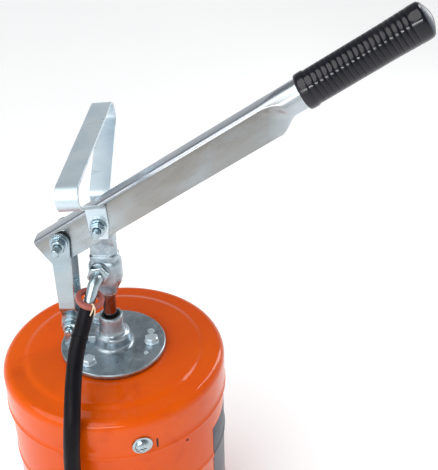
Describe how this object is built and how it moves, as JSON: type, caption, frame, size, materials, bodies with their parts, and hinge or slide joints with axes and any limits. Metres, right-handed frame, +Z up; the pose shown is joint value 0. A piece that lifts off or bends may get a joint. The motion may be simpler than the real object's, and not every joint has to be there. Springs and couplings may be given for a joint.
{
  "type": "bucket grease pump",
  "caption": "Hand-lever grease pump on a painted steel bucket: linked lever, carry handle, flanged piston pump, follower plate and a delivery hose with a coupler.",
  "frame": {"origin": "middle of the bucket's flat base, on the floor", "axes": "+Z up along the pump rod, +X towards the lever's grip, +Y along the pivot bolts to the side away from the outlet"},
  "size_m": [0.5137, 0.4597, 0.6799],
  "materials": {
    "orange_paint": "gloss orange paint",
    "zinc_plate": "bright bluish zinc plate",
    "cast_zinc": "satin grey casting",
    "chrome": "polished",
    "plain_steel": "plain steel",
    "brass": "turned brass",
    "grip_rubber": "moulded, fine rings",
    "hose_rubber": "smooth black cover",
    "seal_rubber": "matte",
    "red_ring": "matte brown-red"
  },
  "bodies": {
    "bucket": {"bucket_shell": "orange_paint", "lid": "orange_paint", "lid_seal": "seal_rubber", "lid_screw_1": "zinc_plate", "lid_screw_2": "zinc_plate", "lid_screw_3": "zinc_plate", "lid_nut_1": "plain_steel", "lid_nut_2": "plain_steel", "lid_nut_3": "plain_steel", "flange": "cast_zinc", "flange_gasket": "seal_rubber", "backing_ring": "plain_steel", "flange_screw_1": "zinc_plate", "flange_screw_2": "zinc_plate", "flange_screw_3": "zinc_plate", "rod_wiper": "seal_rubber", "rod_packing": "seal_rubber", "packing_nut": "brass", "pump_tube": "plain_steel", "foot_valve_body": "brass", "inlet_strainer": "plain_steel", "lower_link_bolt": "zinc_plate", "lower_link_nut": "zinc_plate", "lower_link_washer_near": "zinc_plate", "lower_link_washer_far": "zinc_plate", "hose": "hose_rubber", "hose_coil": "hose_rubber", "hose_tail": "hose_rubber", "hose_end_sleeve": "zinc_plate", "delivery_pipe": "chrome", "grease_coupler": "zinc_plate"},
    "head": {"pump_head": "cast_zinc", "pivot_bush": "brass", "piston_rod": "chrome", "piston": "brass", "piston_seal": "seal_rubber", "outlet_adapter": "zinc_plate", "elbow": "zinc_plate", "sealing_ring": "red_ring", "hose_sleeve": "hose_rubber", "main_pivot_bolt": "zinc_plate", "main_pivot_nut": "zinc_plate", "main_pivot_washer_near": "zinc_plate", "main_pivot_washer_far": "zinc_plate"},
    "lever": {"lever": "zinc_plate", "grip": "grip_rubber", "upper_link_bolt": "zinc_plate", "upper_link_nut": "zinc_plate", "upper_link_washer_near": "zinc_plate", "upper_link_washer_far": "zinc_plate", "link_spacer": "plain_steel"},
    "carry_handle": {"carry_handle": "zinc_plate"},
    "links": {"link_near": "zinc_plate", "link_far": "zinc_plate"},
    "follower": {"follower_plate": "zinc_plate", "follower_lip": "seal_rubber", "follower_sleeve": "seal_rubber"},
    "piston_ball": {"piston_ball": "plain_steel"},
    "foot_ball": {"foot_valve_ball": "plain_steel"}
  },
  "joints": [
    {"name": "head_slide", "type": "slide", "parent": "bucket", "child": "head", "axis": [0, 0, 1], "range_m": [-0.022, 0.0095], "deforming": ["hose"]},
    {"name": "lever_pivot", "type": "hinge", "parent": "head", "child": "lever", "pos_m": [0, 0, 0.4628], "axis": [0, -1, 0], "range_deg": [-28.4, 12.3]},
    {"name": "link_pivot", "type": "hinge", "parent": "lever", "child": "links", "pos_m": [-0.0406, 0, 0.4444], "axis": [0, -1, 0], "range_deg": [-13.8, 31.8]},
    {"name": "handle_swing", "type": "hinge", "parent": "head", "child": "carry_handle", "pos_m": [0, 0, 0.4628], "axis": [0, -1, 0], "range_deg": [-18, 28]},
    {"name": "follower_slide", "type": "slide", "parent": "bucket", "child": "follower", "axis": [0, 0, 1], "range_m": [-0.19, 0]},
    {"name": "piston_ball_lift", "type": "slide", "parent": "head", "child": "piston_ball", "axis": [0, 0, 1], "range_m": [0, 0.003]},
    {"name": "foot_ball_lift", "type": "slide", "parent": "bucket", "child": "foot_ball", "axis": [0, 0, 1], "range_m": [0, 0.003]}
  ],
  "couplings": [
    {"joint": "lever_pivot", "follows": "head_slide", "rad_per_m": 22.5},
    {"joint": "link_pivot", "follows": "head_slide", "rad_per_m": -25.1}
  ]
}
